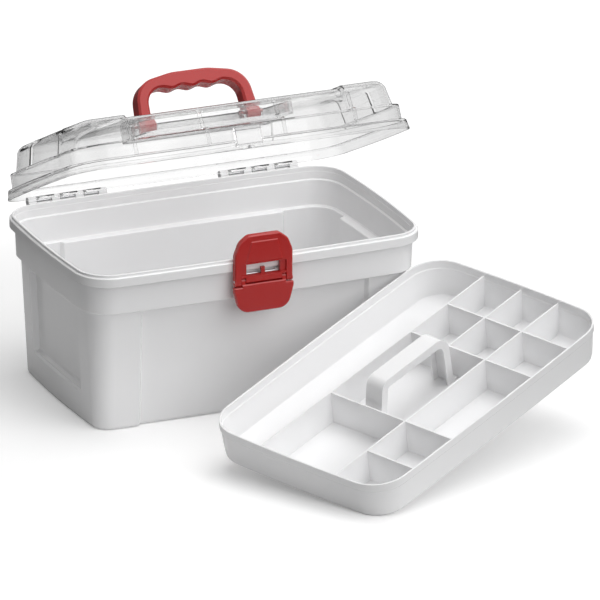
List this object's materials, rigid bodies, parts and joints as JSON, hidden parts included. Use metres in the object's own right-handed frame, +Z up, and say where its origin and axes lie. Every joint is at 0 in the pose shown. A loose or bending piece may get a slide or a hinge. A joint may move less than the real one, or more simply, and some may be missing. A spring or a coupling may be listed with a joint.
{
  "type": "medicine carry box with a clear hinged lid and a lift-out tray",
  "caption": "White plastic medicine box with a clear hinged lid, a red carry handle and a red two-piece latch; its divided white tray leans against the front.",
  "frame": {"origin": "centre of the box's underside", "axes": "+X to the box's right seen from its latch, -Y out of the front with the latch, +Z up"},
  "size_m": [0.4841, 0.5684, 0.3139],
  "materials": {
    "white_plastic": "smooth moulded plastic, soft sheen",
    "clear_plastic": "clear moulded plastic, polished",
    "red_plastic": "smooth moulded plastic, satin",
    "steel_pin": "plain drawn wire"
  },
  "bodies": {
    "base": {"base_box": "white_plastic", "hinge_pin_left": "steel_pin", "hinge_pin_right": "steel_pin", "lever_pin": "steel_pin"},
    "lid": {"lid": "clear_plastic", "handle_pin_left": "red_plastic", "handle_pin_right": "red_plastic"},
    "carry_handle": {"carry_handle": "red_plastic"},
    "latch_lever": {"latch_lever": "red_plastic", "hook_pin": "steel_pin"},
    "latch_hook": {"latch_hook": "red_plastic"},
    "tray": {"tray": "white_plastic", "tray_handle": "white_plastic"}
  },
  "joints": [
    {"name": "lid_hinge", "type": "hinge", "parent": "base", "child": "lid", "pos_m": [0, 0.131, 0.1683], "axis": [-1, 0, 0], "range_deg": [-25.7, 85]},
    {"name": "handle_hinge", "type": "hinge", "parent": "lid", "child": "carry_handle", "pos_m": [0, 0.04068, 0.26426], "axis": [1, 0, 0], "range_deg": [0, 94]},
    {"name": "lever_hinge", "type": "hinge", "parent": "base", "child": "latch_lever", "pos_m": [0, -0.11825, 0.1538], "axis": [-1, 0, 0], "range_deg": [0, 70]},
    {"name": "hook_hinge", "type": "hinge", "parent": "latch_lever", "child": "latch_hook", "pos_m": [0, -0.1244, 0.1492], "axis": [1, 0, 0], "range_deg": [0, 88]},
    {"name": "tray_lift", "type": "slide", "parent": "base", "child": "tray", "axis": [0.3478, -0.7951, 0.4969], "range_m": [0, 0.15]}
  ],
  "couplings": [
    {"joint": "hook_hinge", "follows": "lever_hinge", "ratio": 1.25}
  ]
}
